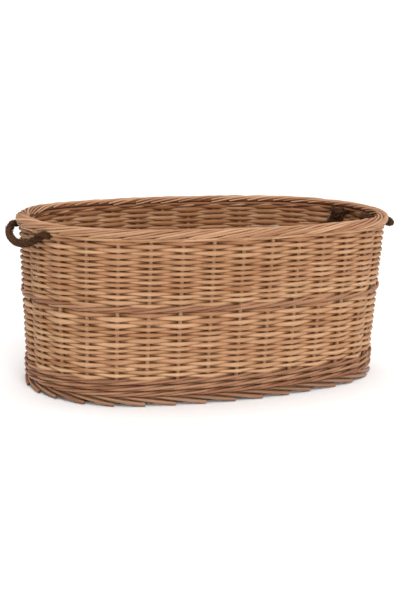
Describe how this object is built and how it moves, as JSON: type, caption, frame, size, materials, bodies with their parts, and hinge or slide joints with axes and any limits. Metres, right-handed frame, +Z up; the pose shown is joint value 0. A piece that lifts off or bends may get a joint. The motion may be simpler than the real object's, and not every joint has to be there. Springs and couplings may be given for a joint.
{
  "type": "basket",
  "caption": "Oval woven willow log basket with a waled foot, a middle wale, a thick rolled rim and a short hanging rope handle at each end.",
  "frame": {"origin": "middle of the standing face under the foot", "axes": "+X along the basket's length towards the right handle, +Y across it towards the back, +Z up"},
  "size_m": [0.8654, 0.4858, 0.345],
  "materials": {
    "willow_weavers": "natural",
    "willow_wale": "natural",
    "willow_border": "natural",
    "willow_foot": "natural",
    "willow_base": "natural",
    "willow_sticks": "natural",
    "rope": "rough"
  },
  "bodies": {
    "basket": {"base_long_sticks": "willow_sticks", "base_cross_sticks": "willow_sticks", "base_binding": "willow_base", "base_weave": "willow_base", "base_edge_wale": "willow_wale", "foot_border": "willow_foot", "upsett_wale": "willow_wale", "lower_side_weave": "willow_weavers", "middle_wale": "willow_wale", "upper_side_weave": "willow_weavers", "top_wale": "willow_wale", "side_stakes": "willow_sticks", "rim_border": "willow_border", "left_front_rope_knot": "rope", "left_back_rope_knot": "rope", "right_front_rope_knot": "rope", "right_back_rope_knot": "rope"},
    "left_handle": {"left_rope_loop": "rope"},
    "right_handle": {"right_rope_loop": "rope"}
  },
  "joints": [
    {"name": "left_handle_swing", "type": "hinge", "parent": "basket", "child": "left_handle", "pos_m": [-0.38959, 0, 0.321], "axis": [0, 1, 0], "range_deg": [-15, 90]},
    {"name": "right_handle_swing", "type": "hinge", "parent": "basket", "child": "right_handle", "pos_m": [0.40009, 0, 0.321], "axis": [0, -1, 0], "range_deg": [-45, 75]}
  ]
}
